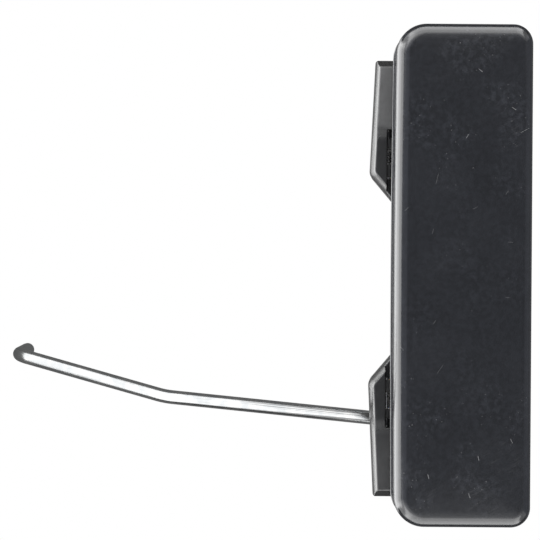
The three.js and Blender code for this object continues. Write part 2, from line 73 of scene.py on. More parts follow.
class Shader:
    """A material being built. Methods add nodes and return the socket that carries their result."""

    def __init__(self, name):
        self.material = bpy.data.materials.new(name)
        self.material.use_nodes = True
        self.tree = self.material.node_tree
        self.surface = self.tree.nodes["Principled BSDF"]

    def add(self, kind, inputs=None, **settings):
        node = self.tree.nodes.new(kind)
        for key, value in settings.items():
            setattr(node, key, value)
        for key, value in (inputs or {}).items():
            self.feed(node.inputs[key], value)
        return node

    def feed(self, socket, value):
        if isinstance(value, bpy.types.NodeSocket):
            self.tree.links.new(value, socket)
        else:
            socket.default_value = value

    def set(self, **values):
        """Feeds the surface's sockets, named with _ for a space."""
        for key, value in values.items():
            self.feed(self.surface.inputs[key.replace("_", " ")], value)

    def place(self, stretch=(1, 1, 1), turn=(0, 0, 0)):
        """The point in the handle's frame, in metres, turned and then stretched."""
        coordinates = self.add("ShaderNodeTexCoord").outputs["Object"]
        return self.mapped(coordinates, stretch, turn)

    def mapped(self, vector, stretch=(1, 1, 1), turn=(0, 0, 0)):
        if tuple(turn) != (0, 0, 0):
            vector = self.add("ShaderNodeMapping", {"Vector": vector, "Rotation": turn}).outputs[0]
        if tuple(stretch) != (1, 1, 1):
            vector = self.add("ShaderNodeMapping", {"Vector": vector, "Scale": stretch}).outputs[0]
        return vector

    def attribute(self, name):
        return self.add("ShaderNodeAttribute", attribute_name=name).outputs["Vector"]

    def noise(self, vector, scale, detail=2.0, rough=0.5):
        inputs = {"Vector": vector, "Scale": scale, "Detail": detail, "Roughness": rough}
        return self.add("ShaderNodeTexNoise", inputs).outputs["Fac"]

    def math(self, operation, a, b=0.0):
        return self.add("ShaderNodeMath", {0: a, 1: b}, operation=operation).outputs[0]

    def ramp(self, value, start, end, low=0.0, high=1.0):
        """Maps start..end smoothly to low..high."""
        inputs = {"Value": value, "From Min": start, "From Max": end, "To Min": low, "To Max": high}
        return self.add("ShaderNodeMapRange", inputs, interpolation_type="SMOOTHSTEP").outputs["Result"]

    def mix(self, share, first, second):
        """Blends two colours. A mix node's colour sockets can only be told apart by their numbers."""
        node = self.add("ShaderNodeMix", data_type="RGBA")
        self.feed(node.inputs["Factor"], share)
        self.feed(node.inputs[6], first)
        self.feed(node.inputs[7], second)
        return node.outputs[2]

    def bump(self, height, depth, strength):
        inputs = {"Height": height, "Distance": depth, "Strength": strength}
        return self.add("ShaderNodeBump", inputs).outputs["Normal"]


def grey(level, tint=(1.0, 1.0, 1.0)):
    return (*[level * part for part in tint], 1.0)


def facing_front(shader):
    """1 on surfaces that face the front of the handle, 0 on its sides and back."""
    normal = shader.add("ShaderNodeNewGeometry").outputs["Normal"]
    split = shader.add("ShaderNodeSeparateXYZ", {0: normal})
    return shader.ramp(split.outputs["Y"], -0.55, -0.85)


def specks(shader, spacing, radius, share):
    """Small round spots, one to a cell of the given spacing, kept in a share of the cells."""
    cells = shader.add("ShaderNodeTexVoronoi", {"Vector": shader.place(), "Scale": 1 / spacing})
    near = shader.ramp(cells.outputs["Distance"], radius / spacing, 0.3 * radius / spacing)
    chance = shader.add("ShaderNodeSeparateColor", {0: cells.outputs["Color"]}).outputs["Red"]
    return shader.math("MULTIPLY", near, shader.math("LESS_THAN", chance, share))


def nicks(shader, spacing, length, width, share):
    """Short straight scratches in the front plane, each at its own angle, in a share of the cells."""
    flat = shader.place(turn=(math.pi / 2, 0, 0))
    cells = shader.add(
        "ShaderNodeTexVoronoi", {"Vector": flat, "Scale": 1 / spacing}, voronoi_dimensions="2D")
    offset = {0: flat, 1: cells.outputs["Position"]}
    away = shader.add("ShaderNodeVectorMath", offset, operation="SUBTRACT").outputs[0]
    random = shader.add("ShaderNodeSeparateColor", {0: cells.outputs["Color"]})
    angle = shader.math("MULTIPLY", random.outputs["Green"], 2 * math.pi)
    turned = shader.add(
        "ShaderNodeVectorRotate", {"Vector": away, "Angle": angle}, rotation_type="Z_AXIS").outputs[0]
    split = shader.add("ShaderNodeSeparateXYZ", {0: turned})
    along = shader.math("ABSOLUTE", split.outputs["X"])
    across = shader.math("ABSOLUTE", split.outputs["Y"])
    long_enough = shader.ramp(along, length / 2, length / 3)
    thin_enough = shader.ramp(across, width / 2, width / 6)
    mark = shader.math("MULTIPLY", long_enough, thin_enough)
    return shader.math("MULTIPLY", mark, shader.math("LESS_THAN", random.outputs["Red"], share))


def hairlines(shader, turn, across, along, threshold):
    """Fine rub marks that run one way, where a stretched noise passes a threshold."""
    stretched = shader.place(stretch=(1 / along, 1 / across, 1 / across), turn=turn)
    return shader.ramp(shader.noise(stretched, 1.0, detail=1.0), threshold, threshold + 0.06)


# ---- Materials ----

# Colour and depth of the painted light on the brackets' raised fronts.
PAINTED_LIGHT_LEVEL = 0.036
SCRATCH_LEVEL = 0.085
DUST_LEVEL = 0.06
PAINTED_LIGHT_DEPTH = 0.4 * MM
GRAIN_DEPTH = 0.014 * MM
NEUTRAL = (1.0, 1.0, 1.0)
COOL = (0.90, 0.97, 1.2)


def painted_light_on_front(shader, front, depth):
    """1 on whatever stands at or before a Y position, fading to 0 over a depth behind it, and fainter
    on the lower half of the handle. It masks painted light on the brackets' raised fronts, strongest at
    the top, where light falls from above."""
    split = shader.add("ShaderNodeSeparateXYZ", {0: shader.place()})
    forward = shader.ramp(split.outputs["Y"], front + depth, front)
    return shader.math("MULTIPLY", forward, shader.ramp(split.outputs["Z"], -0.04, 0.04, 0.25, 1.0))


def towards_ends(shader, start, end, least):
    """Grows from a least value at mid height to 1 near both ends of the handle."""
    split = shader.add("ShaderNodeSeparateXYZ", {0: shader.place()})
    return shader.ramp(shader.math("ABSOLUTE", split.outputs["Z"]), start, end, least, 1.0)


def mottled(s, level, tint, cloud, fine, mottling, marks):
    """The plastic's own colour: a broad cloud, pale points of grain, and mottling as it is marked."""
    body = s.mix(s.ramp(cloud, 0.3, 0.7), grey(level * 0.8, tint), grey(level * 1.2, tint))
    body = s.mix(s.ramp(fine, 0.35, 0.75, 0.0, 0.35), body, grey(level * 1.7, tint))
    grainy = s.math("MULTIPLY", s.ramp(mottling, 0.35, 0.65, 0.0, 0.45), marks)
    return s.mix(grainy, body, grey(level * 2.2, tint))


def scratches(s, cloud):
    """Short nicks, longer scratches and faint rub marks."""
    rub_marks = hairlines(s, (0, 0.5, 0), across=0.00018, along=0.012, threshold=0.64)
    rubbed_and_painted_light = s.math("MULTIPLY", rub_marks, s.ramp(cloud, 0.45, 0.6))
    short = nicks(s, spacing=0.011, length=0.0017, width=0.00022, share=0.4)
    long = nicks(s, spacing=0.023, length=0.0036, width=0.00015, share=0.5)
    return s.math("MAXIMUM", s.math("MAXIMUM", short, long), s.math("MULTIPLY", rubbed_and_painted_light, 0.09))


def dust(s, patches, handled):
    """Fine dust in patches, and larger chips."""
    dusty = s.math("MULTIPLY", specks(s, spacing=0.0012, radius=0.00021, share=0.55), patches)
    chipped = s.math("MULTIPLY", specks(s, spacing=0.0062, radius=0.00032, share=0.25), handled)
    return s.math("MAXIMUM", dusty, chipped)


def moulded_plastic(name, level, tint, roughness, grain, marks, painted_light_front=None):
    """Satin moulded plastic: soft mottling, a fine eroded grain, dust specks, chips and scratches, most
    of them near the ends. Whatever stands before the given front is made duller and painted paler:
    painted light, stronger on the upper half, where light falls from above."""
    s = Shader(name)
    cloud = s.noise(s.place(), 55, detail=5.0, rough=0.6)
    fine = s.noise(s.place(), 1 / grain, detail=3.0, rough=0.65)
    mottling = s.noise(s.place(), 620, detail=4.0, rough=0.62)
    handled = towards_ends(s, 0.02, 0.055, 0.3)
    worn = s.math("MULTIPLY", facing_front(s), marks)
    patchy = s.ramp(s.noise(s.place(), 90, detail=2.0), 0.45, 0.65)
    patches = s.math("MULTIPLY", patchy, s.math("MULTIPLY", handled, marks))
    bloom = s.math("MULTIPLY", s.ramp(mottling, 0.42, 0.72), patches)
    scratched = s.math("MULTIPLY", s.math("MULTIPLY", scratches(s, cloud), worn), handled)
    dusty = s.math("MULTIPLY", dust(s, patches, handled), worn)

    body = mottled(s, level, tint, cloud, fine, mottling, marks)
    body = s.mix(s.math("MULTIPLY", bloom, 0.6), body, grey(level * 3.5, tint))
    body = s.mix(s.math("MULTIPLY", scratched, 0.9), body, grey(SCRATCH_LEVEL))
    body = s.mix(s.math("MULTIPLY", dusty, 0.9), body, grey(DUST_LEVEL))
    dull = s.math("ADD", s.ramp(cloud, 0.3, 0.75, roughness * 0.88, roughness * 1.12),
                  s.math("MULTIPLY", scratched, 0.2))
    dull = s.math("ADD", dull, s.math("MULTIPLY", bloom, 0.06))
    # Painted light: the raised front is made duller and painted paler, more on the upper half, where light falls
    # from above.
    if painted_light_front is not None:
        rubbed_and_painted_light = s.math("MULTIPLY", painted_light_on_front(s, painted_light_front, PAINTED_LIGHT_DEPTH), facing_front(s))
        dull = s.math("ADD", dull, s.math("MULTIPLY", rubbed_and_painted_light, s.ramp(cloud, 0.3, 0.7, 0.2, 0.36)))
        pale = s.math("MULTIPLY", rubbed_and_painted_light, s.ramp(mottling, 0.3, 0.7, 0.75, 1.0))
        body = s.mix(pale, body, grey(PAINTED_LIGHT_LEVEL))
    height = s.math("SUBTRACT", s.math("ADD", fine, s.math("MULTIPLY", mottling, 1.2)), scratched)
    s.set(Base_Color=body, Roughness=dull, Specular_IOR_Level=0.5,
          Normal=s.bump(height, GRAIN_DEPTH, strength=0.55))
    return s.material


LEG_START = 0.127  # metres along the wire


def zinc_wire(name):
    """Drawn wire with bright zinc: dark lines along the wire, cloudy plating and a few dark specks. The
    leg at its far end is rougher, and painted darker and greener as painted shade."""
    s = Shader(name)
    section = s.attribute("section")
    fine = s.noise(s.mapped(section, (1.0, 1.0, 0.02)), 3400, detail=3.0, rough=0.7)
    coarse = s.noise(s.mapped(section, (1.0, 1.0, 0.010)), 1300, detail=2.0)
    cloud = s.noise(s.place(), 260, detail=4.0, rough=0.6)
    along = s.add("ShaderNodeSeparateXYZ", {0: section}).outputs["Z"]
    leg = s.ramp(along, LEG_START, LEG_START + 0.004)
    bright = s.mix(s.ramp(cloud, 0.3, 0.7), grey(0.6, (0.97, 1.0, 1.02)), grey(0.78, (1.0, 1.0, 0.99)))
    colour = s.mix(s.math("MULTIPLY", s.ramp(coarse, 0.56, 0.66), 0.8), bright, grey(0.12))
    colour = s.mix(s.math("MULTIPLY", s.ramp(fine, 0.55, 0.72), 0.4), colour, grey(0.25))
    colour = s.mix(specks(s, 0.0022, 0.00026, 0.25), colour, grey(0.12, (1.0, 0.97, 0.9)))
    # Painted shade: the leg that points back at the door is painted darker and greener.
    colour = s.mix(s.math("MULTIPLY", leg, 0.75), colour, grey(0.5, (0.95, 1.0, 0.98)))
    height = s.math("ADD", fine, s.math("MULTIPLY", coarse, 1.6))
    dull = s.math("ADD", s.ramp(fine, 0.3, 0.75, 0.16, 0.28), s.math("MULTIPLY", leg, 0.2))
    s.set(Base_Color=colour, Metallic=1.0, Roughness=dull, Normal=s.bump(height, 0.00003, strength=0.4))
    return s.material


def plated_steel(name, level, tint, low, high, scale):
    """Plated or ground steel: cloudy reflectivity, fine machining noise and a few dull spots. Its
    roughness lies between low and high."""
    s = Shader(name)
    cloud = s.noise(s.place(), scale, detail=4.0, rough=0.6)
    fine = s.noise(s.place(), 5200, detail=2.0)
    colour = s.mix(s.ramp(cloud, 0.3, 0.7), grey(level * 0.82, tint), grey(level, tint))
    colour = s.mix(specks(s, 0.0014, 0.00016, 0.3), colour, grey(level * 0.3))
    s.set(Base_Color=colour, Metallic=1.0, Roughness=s.ramp(cloud, 0.25, 0.75, low, high),
          Normal=s.bump(fine, 0.00001, strength=0.4))
    return s.material


def coated_metal(name, level, roughness):
    """Black coated casting: slight orange peel, with bare metal glinting through a few pores."""
    s = Shader(name)
    peel = s.noise(s.place(), 1500, detail=2.0)
    cloud = s.noise(s.place(), 240, detail=3.0)
    colour = s.mix(s.ramp(cloud, 0.3, 0.7), grey(level * 0.8), grey(level * 1.4))
    colour = s.mix(specks(s, 0.0018, 0.00014, 0.3), colour, grey(0.22))
    s.set(Base_Color=colour, Roughness=s.ramp(cloud, 0.3, 0.7, roughness - 0.08, roughness + 0.08),
          Metallic=0.0, Specular_IOR_Level=0.6, Normal=s.bump(peel, 0.00003, strength=0.5))
    return s.material


def moulded_rubber(name):
    """Matt rubber: a fine pebble, with powdery bloom in patches."""
    s = Shader(name)
    pebble = s.noise(s.place(), 3200, detail=3.0, rough=0.7)
    bloom = s.noise(s.place(), 130, detail=5.0)
    colour = s.mix(s.ramp(bloom, 0.4, 0.8), grey(0.012), grey(0.04, (1.0, 0.99, 0.96)))
    s.set(Base_Color=colour, Roughness=s.ramp(pebble, 0.3, 0.7, 0.72, 0.9), Specular_IOR_Level=0.3,
          Normal=s.bump(pebble, 0.00003, strength=0.7))
    return s.material


def natural_acetal(name):
    """Off-white acetal: slightly translucent, with turning marks."""
    s = Shader(name)
    rings = s.noise(s.place(stretch=(1, 1, 14)), 700, detail=2.0)
    colour = s.mix(s.ramp(rings, 0.3, 0.7), grey(0.70, (1.0, 0.97, 0.9)), grey(0.82, (1.0, 0.98, 0.93)))
    s.set(Base_Color=colour, Roughness=s.ramp(rings, 0.3, 0.7, 0.38, 0.5), Subsurface_Weight=0.15,
          Subsurface_Scale=0.001, Normal=s.bump(rings, 0.00001, strength=0.4))
    return s.material


def pale_floor(name):
    s = Shader(name)
    paper = s.noise(s.place(), 300, detail=3.0)
    s.set(Base_Color=s.mix(paper, grey(0.86), grey(0.9)), Roughness=0.85,
          Emission_Color=(1.0, 1.0, 1.0, 1.0), Emission_Strength=0.9)
    return s.material


MATERIALS = {
    "paddle_plastic": moulded_plastic(
        "paddle_plastic", 0.0037, COOL, roughness=0.19, grain=0.00028, marks=1.0),
    # Painted light: the raised front, before the Y given last, is painted paler, more at the top.
    "bracket_plastic": moulded_plastic(
        "bracket_plastic", 0.006, NEUTRAL, roughness=0.24, grain=0.00022, marks=0.35,
        painted_light_front=-0.0154),
    "plate_plastic": moulded_plastic(
        "plate_plastic", 0.014, NEUTRAL, roughness=0.45, grain=0.00035, marks=0.2),
    "arm_metal": coated_metal("arm_metal", 0.008, roughness=0.5),
    "zinc_wire": zinc_wire("zinc_wire"),
    "zinc_fastener": plated_steel(
        "zinc_fastener", 0.58, (0.98, 1.0, 1.03), low=0.22, high=0.4, scale=420),
    "pin_steel": plated_steel(
        "pin_steel", 0.62, (1.0, 0.99, 0.97), low=0.18, high=0.32, scale=700),
    # Painted shade: the spring's steel is painted nearly black, to read as dark as the shadowed pocket it sits in.
    "spring_steel": plated_steel(
        "spring_steel", 0.05, (1.0, 0.99, 0.98), low=0.3, high=0.45, scale=900),
    "black_screw": coated_metal("black_screw", 0.02, roughness=0.34),
    "rubber": moulded_rubber("rubber"),
    "acetal": natural_acetal("acetal"),
}


# ---- Meshes ----

def link_object(name, mesh):
    piece = bpy.data.objects.new(name, mesh)
    bpy.context.scene.collection.objects.link(piece)
    return piece


def mesh_object(name, vertices, faces):
    mesh = bpy.data.meshes.new(name)
    mesh.from_pydata([tuple(v) for v in vertices], [], faces)
    shell = bmesh.new()
    shell.from_mesh(mesh)
    bmesh.ops.remove_doubles(shell, verts=shell.verts, dist=1e-7)
    bmesh.ops.recalc_face_normals(shell, faces=shell.faces)
    shell.to_mesh(mesh)
    shell.free()
    return link_object(name, mesh)


def loft(name, rings, capped=True):
    """A skin over rings with equal numbers of points, each ring closed, with flat ends if capped."""
    count = len(rings[0])
    vertices = [point for ring in rings for point in ring]
    faces = []
    for r in range(len(rings) - 1):
        for k in range(count):
            a, b = r * count + k, r * count + (k + 1) % count
            faces.append((a, b, b + count, a + count))
    if capped:
        faces.append(tuple(range(count)))
        faces.append(tuple(range((len(rings) - 1) * count, len(rings) * count)))
    return mesh_object(name, vertices, faces)


def rounded_corners(corners, steps):
    """The arcs that round a convex outline's corners, given as (x, z, radius), as a list of marks:
    (corner, way in from the corner for an inset of 1, radius, direction from the arc's centre)."""
    marks = []
    count = len(corners)
    for i, (x, z, radius) in enumerate(corners):
        at = Vector((x, z))
        before = (Vector(corners[i - 1][:2]) - at).normalized()
        after = (Vector(corners[(i + 1) % count][:2]) - at).normalized()
        half = math.acos(max(-1.0, min(1.0, before.dot(after)))) / 2
        way_in = (before + after).normalized() / math.sin(half)
        centre = at + way_in * radius
        start = (at + before * (radius / math.tan(half)) - centre).normalized()
        end = (at + after * (radius / math.tan(half)) - centre).normalized()
        for k in range(steps + 1):
            marks.append((at, way_in, radius, start.slerp(end, k / steps)))
    return marks


def outline(marks, inset, y):
    """A ring of points at one Y, drawn in from the outline by an inset."""
    points = []
    for corner, way_in, radius, direction in marks:
        left = max(radius - inset, 0.02 * MM)
        x, z = corner + way_in * (inset + left) + direction * left
        points.append((x, y, z))
    return points


def closely_spaced(rings, spacing):
    """Adds points on the long straight sides, the same number in every ring."""
    widest = max(rings, key=lambda ring: max(p[0] for p in ring))
    first = [Vector(p) for p in widest]
    count = len(first)
    extra = [int((first[(k + 1) % count] - first[k]).length / spacing) for k in range(count)]
    return [
        [tuple(Vector(ring[k]).lerp(Vector(ring[(k + 1) % count]), i / (extra[k] + 1)))
         for k in range(count) for i in range(extra[k] + 1)]
        for ring in rings
    ]


CROWN_REACH = 0.92  # how far towards the middle the crown's rings go, short of meeting there


def crown(ring, middle_x, z_span, rise, steps):
    """Rings that close a front face, from a narrow flat middle outwards, with a gentle crown."""
    rings = []
    for k in range(steps, 0, -1):
        share = CROWN_REACH * k / steps
        lift = rise * (1 - (1 - share) ** 2)
        rings.append([
            (x + (middle_x - x) * share, y - lift,
             z + (max(z_span[0], min(z_span[1], z)) - z) * share)
            for x, y, z in ring])
    return rings


def quarter(centre_inset, centre_y, radius, y_radius, start, end, steps):
    """Points (inset, y) on an arc between two angles in degrees: 0 faces out, 90 faces the front."""
    points = []
    for k in range(steps + 1):
        angle = math.radians(start + (end - start) * k / steps)
        points.append((centre_inset - radius * math.cos(angle), centre_y - y_radius * math.sin(angle)))
    return points


def evaluated(piece):
    """Applies a piece's modifiers to its mesh."""
    graph = bpy.context.evaluated_depsgraph_get()
    mesh = bpy.data.meshes.new_from_object(piece.evaluated_get(graph))
    piece.modifiers.clear()
    piece.data = mesh
    return piece


def combined(piece, others, operation):
    """Cuts or joins other solids into a piece, and removes them."""
    for other in others:
        modifier = piece.modifiers.new("boolean", "BOOLEAN")
        modifier.operation = operation
        modifier.solver = "EXACT"
        modifier.object = other
        evaluated(piece)
        bpy.data.objects.remove(other)
    return piece


def block(low, high):
    xs, ys, zs = zip(low, high)
    corners = [(x, y, z) for x in xs for y in ys for z in zs]
    faces = [(0, 1, 3, 2), (4, 6, 7, 5), (0, 4, 5, 1), (2, 3, 7, 6), (0, 2, 6, 4), (1, 5, 7, 3)]
    return mesh_object("tool", corners, faces)


def rod_between(start, end, radius):
    """A round bar between two points."""
    sides = 48
    start, end = Vector(start), Vector(end)
    axis = (end - start).normalized()
    across = axis.orthogonal().normalized()
    up = axis.cross(across)
    turns = [2 * math.pi * k / sides for k in range(sides)]
    ring = [across * (radius * math.cos(a)) + up * (radius * math.sin(a)) for a in turns]
    return loft("tool", [[start + p for p in ring], [end + p for p in ring]])


def softened(piece, voxel, rounds, keep):
    """Remeshes a boolean solid so that every edge gets a small even radius, then thins the mesh."""
    remesh = piece.modifiers.new("remesh", "REMESH")
    remesh.mode = "VOXEL"
    remesh.voxel_size = voxel
    smooth = piece.modifiers.new("smooth", "SMOOTH")
    smooth.factor = 0.5
    smooth.iterations = rounds
    thin = piece.modifiers.new("thin", "DECIMATE")
    thin.ratio = keep
    return evaluated(piece)


def smooth_shaded(piece, degrees):
    """Smooth shading, with a hard line at each edge that turns by more than the angle."""
    piece.data.shade_smooth()
    piece.data.set_sharp_from_angle(angle=math.radians(degrees))
    return piece


def stands_for(piece, *nodes):
    """Gives a piece the material of its CAD nodes' slot, and hides the nodes that it replaces."""
    slot = SLOT_OF[nodes[0]]
    piece.data.materials.clear()
    piece.data.materials.append(MATERIALS[slot])
    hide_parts(*nodes)
    return piece


# ---- Paddle ----

PADDLE = {  # millimetres, and degrees for the angle where the rounded edge meets the crown
    "hinge_corner": 9, "free_corner": 6, "crown": 0.35, "edge": 4.1, "edge_start": 87.6,
    "wall": 2.4, "lip": 0.4, "lip_depth": 1.0, "bow": 0.45, "point_spacing": 6,
}


def paddle_profile(shoulder, rim):
    """The shell's section as (inset, y): rounded edge, drafted wall, lip, rim and inner wall."""
    edge, wall = PADDLE["edge"] * MM, PADDLE["wall"] * MM
    lip, lip_depth = PADDLE["lip"] * MM, PADDLE["lip_depth"] * MM
    profile = quarter(edge, shoulder + edge, edge, edge, PADDLE["edge_start"], 0, 14)
    profile += [(lip * 0.4, (shoulder + edge + rim) / 2), (lip * 0.9, rim - lip_depth - lip)]
    profile += quarter(lip, rim - lip_depth + lip, lip, lip, 90, 0, 4)
    profile += quarter(lip, rim - lip, lip, -lip, 0, 90, 4)
    return profile + [(wall, rim), (wall + lip, shoulder + wall + edge / 2)]


def paddle_cover():
    """The shell: crowned front, rounded front edge, drafted wall and a fine lip round its rear rim."""
    low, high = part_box("paddle_cover")
    hinge_corner, free_corner = PADDLE["hinge_corner"] * MM, PADDLE["free_corner"] * MM
    marks = rounded_corners([
        (low.x, low.z, hinge_corner), (high.x, low.z, free_corner),
        (high.x, high.z, free_corner), (low.x, high.z, hinge_corner),
    ], 20)
    rise, bow, wall = PADDLE["crown"] * MM, PADDLE["bow"] * MM, PADDLE["wall"] * MM
    shoulder = low.y + rise
    rings = [outline(marks, inset, y) for inset, y in paddle_profile(shoulder, high.y)]
    middle_x, middle_z = (low.x + high.x) / 2, (low.z + high.z) / 2
    half_length = (high.z - low.z) / 2
    half_run = (high.z - low.z - (high.x - low.x)) / 2
    face = crown(rings[0], middle_x, (middle_z - half_run, middle_z + half_run), rise, 10)
    floor_ring = outline(marks, hinge_corner / 2, shoulder + wall)

    def bowed(point):
        """Draws the hinge side in towards the ends."""
        x, y, z = point
        share = (high.x - x) / (high.x - low.x)
        return (x + bow * share * ((z - middle_z) / half_length) ** 2, y, z)

    rings = closely_spaced(face + rings + [floor_ring], PADDLE["point_spacing"] * MM)
    piece = loft("cover_shell", [[bowed(p) for p in ring] for ring in rings])
    return smooth_shaded(stands_for(piece, "paddle_cover"), 50)


# ---- Brackets ----

# Millimetres, for the upper side. The lower bracket is the mirror image.
BRACKET = {
    "edge_outer": -14.3, "edge_inner": -15.95, "chamfer_foot": -7.0, "right": 6.0,
    "outer_end": 67.6, "edge_inner_z": 32.5, "inner_end": 22.1, "step": 46.0,
    "foot": -1.5, "widest": -9.5, "raised": -15.5, "recessed": -14.0, "floor": -4.5,
    "corner": 0.9, "chamfer_corner": 3.4, "edge": 1.3, "draft": 0.7, "crown": 0.15,
    "crown_middle": -4.5, "crown_z": (30, 60), "spare": 3.0, "end_bevel": (2.4, 3.0),
}
# Where the raised front dips to the recess: from start down to end, and how it fades on the sides.
DIP = {"start": 49.0, "end": 41.5, "foot": -6, "left": (-9, -13), "narrowing": 0.3}
# Room for the hinge arm. The first three are distances from the hinge axis.
POCKET = {"left": 2.9, "front": 2.9, "mouth": 1.0, "inner": 31}
RELIEF = {"x": (-10.9, -9.0), "floor": -11.5, "inner": 24.5}
BOSS = {"radius": 2.6, "z": (43.7, 47)}
PIN_HOLE = {"radius": 1.4, "z": (47.5, 70)}
STUD_HOLE = {"x": 0, "z": 56.5, "radius": 2.65, "y": (-10, 0)}
STOP_SEAT = {"x": 1, "z": 50.6, "radius": 3.2}
PEG = {"x": -8.5, "z": 61, "radius": 2, "y": (-2.5, 2.2)}
SPRING_SLOT = {"width": 1.6, "z": (35.3, 36.8), "back": -3.0}
CRANK_SLOT = {"right": 9.6, "z": (39.4, 44.4)}
PAST_X, PAST_Y = (-20, 12), (-20, 5)  # spans that reach past a whole bracket


def smooth_step(value, start, end):
    share = max(0.0, min(1.0, (value - start) / (end - start)))
    return share * share * (3 - 2 * share)


def dipped(point):
    """Moves a point of the raised front back, and in from the left edge, where the front dips to its
    recess. A point near the foot doesn't move."""
    x, y, z = point
    b = BRACKET
    dip = 1 - smooth_step(abs(z), DIP["end"] * MM, DIP["start"] * MM)
    amount = dip * smooth_step(y, DIP["foot"] * MM, (b["raised"] + 1) * MM)
    left_start, left_end = DIP["left"]
    near_left = smooth_step(x, left_start * MM, left_end * MM)
    return (x + amount * near_left * DIP["narrowing"] * MM,
            y + amount * (b["recessed"] - b["raised"]) * MM, z)


def edge_at(z):
    """The X of the left edge, which leans in towards the outer end, at a height."""
    b = BRACKET
    lean = (b["edge_outer"] - b["edge_inner"]) / (b["outer_end"] - b["edge_inner_z"])
    return b["edge_inner"] + lean * (z - b["edge_inner_z"])


def bracket_body(side):
    """The bracket as a solid block, a little longer than it should be at its outer end."""
    b = BRACKET
    past_end = b["outer_end"] + b["spare"]
    corners = [
        (edge_at(past_end), past_end, b["corner"]),
        (b["edge_inner"], b["edge_inner_z"], b["chamfer_corner"]),
        (b["chamfer_foot"], b["inner_end"], b["chamfer_corner"]),
        (b["right"], b["inner_end"], b["corner"]),
        (b["right"], past_end, b["corner"]),
    ]
    marks = rounded_corners([(x * MM, side * z * MM, r * MM) for x, z, r in corners], 8)
    foot, front, widest = b["foot"] * MM, b["raised"] * MM, b["widest"] * MM
    draft, edge = b["draft"] * MM, b["edge"] * MM
    profile = [(draft + 0.2 * MM, foot), (draft, foot - 0.25 * MM), (draft * 0.4, (foot + widest) / 2)]
    profile += quarter(edge, widest, edge, widest - front, 0, 88, 16)
    rings = closely_spaced([outline(marks, inset, y) for inset, y in profile], 1 * MM)
    z_span = sorted(side * z * MM for z in b["crown_z"])
    rings += crown(rings[-1], b["crown_middle"] * MM, z_span, b["crown"] * MM, 8)[::-1]
    return loft("bracket_part", [[dipped(p) for p in ring] for ring in rings])


def side_box(x_span, y_span, z_span, side):
    """A box in millimetres, given for the upper side and mirrored for the lower one."""
    zs = sorted(side * z for z in z_span)
    low = [x_span[0] * MM, y_span[0] * MM, zs[0] * MM]
    high = [x_span[1] * MM, y_span[1] * MM, zs[1] * MM]
    return block(low, high)


def side_bar(x, y, radius, z_span, side):
    """A round bar along the hinge's direction."""
    near, far = z_span
    start = (x * MM, y * MM, side * near * MM)
    end = (x * MM, y * MM, side * far * MM)
    return rod_between(start, end, radius * MM)


def cross_bar(x, z, radius, y_span, side):
    """A round bar square to the door."""
    front, back = y_span
    start = (x * MM, front * MM, side * z * MM)
    end = (x * MM, back * MM, side * z * MM)
    return rod_between(start, end, radius * MM)


def end_bevel(side):
    """The wedge that takes the front edge off the bracket's outer end."""
    end, front = BRACKET["outer_end"], BRACKET["raised"]
    length, drop = BRACKET["end_bevel"]
    section = [(front - 1, end - length), (front, end - length),
               (front + drop, end), (front - 1, end + 1)]
    rings = [[(x * MM, y * MM, side * z * MM) for y, z in section] for x in PAST_X]
    return loft("tool", rings)


def slot_cutter(side, left, hinge_x):
    """A way out through the floor, for the spring's leg above and for the crank below."""
    floor_y = BRACKET["floor"]
    if side > 0:
        x_span = (left, left + SPRING_SLOT["width"])
        return side_box(x_span, (floor_y - 1, SPRING_SLOT["back"]), SPRING_SLOT["z"], side)
    x_span = (left, hinge_x + CRANK_SLOT["right"])
    return side_box(x_span, (floor_y - 1, 0), CRANK_SLOT["z"], side)


def bracket_cutters(side):
    b, seat, hole = BRACKET, STOP_SEAT, STUD_HOLE
    hinge_x, hinge_y = HINGE.x / MM, HINGE.y / MM
    left, mouth = hinge_x - POCKET["left"], hinge_x + POCKET["mouth"]
    pocket_z = (POCKET["inner"], b["step"])
    past_front = b["raised"] - 1
    return [
        side_box((left, mouth + 1), (hinge_y - POCKET["front"], b["floor"]), pocket_z, side),
        side_box((mouth, b["right"] + 1), (past_front, b["floor"]), pocket_z, side),
        side_box(RELIEF["x"], (past_front, RELIEF["floor"]), (RELIEF["inner"], b["step"]), side),
        end_bevel(side),
        side_box(PAST_X, PAST_Y, (b["outer_end"], b["outer_end"] + 5), side),
        side_bar(hinge_x, hinge_y, PIN_HOLE["radius"], PIN_HOLE["z"], side),
        cross_bar(hole["x"], hole["z"], hole["radius"], hole["y"], side),
        cross_bar(seat["x"], seat["z"], seat["radius"], (past_front, b["recessed"]), side),
        slot_cutter(side, left, hinge_x),
    ]


def bracket(end, side):
    body = bracket_body(side)
    peg = cross_bar(PEG["x"], PEG["z"], PEG["radius"], PEG["y"], side)
    boss = side_bar(HINGE.x / MM, HINGE.y / MM, BOSS["radius"], BOSS["z"], side)
    combined(body, bracket_cutters(side), "DIFFERENCE")
    combined(body, [boss, peg], "UNION")
    softened(body, 0.18 * MM, rounds=3, keep=0.25)
    body.name = f"{end}_bracket_housing"
    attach(smooth_shaded(stands_for(body, f"{end}_bracket"), 60), "brackets")


# ---- Wires ----

def blunt_stations(points, radius):
    """Each point of a wire with the wire's radius there. Both ends are slightly rounded off."""
    round_off = 0.25 * radius
    first = (points[1] - points[0]).normalized()
    last = (points[-1] - points[-2]).normalized()
    stations = [(points[0], radius - round_off), (points[0] + first * round_off, radius)]
    stations += [(p, radius) for p in points[1:-1]]
    return stations + [(points[-1] - last * round_off, radius), (points[-1], radius - round_off)]


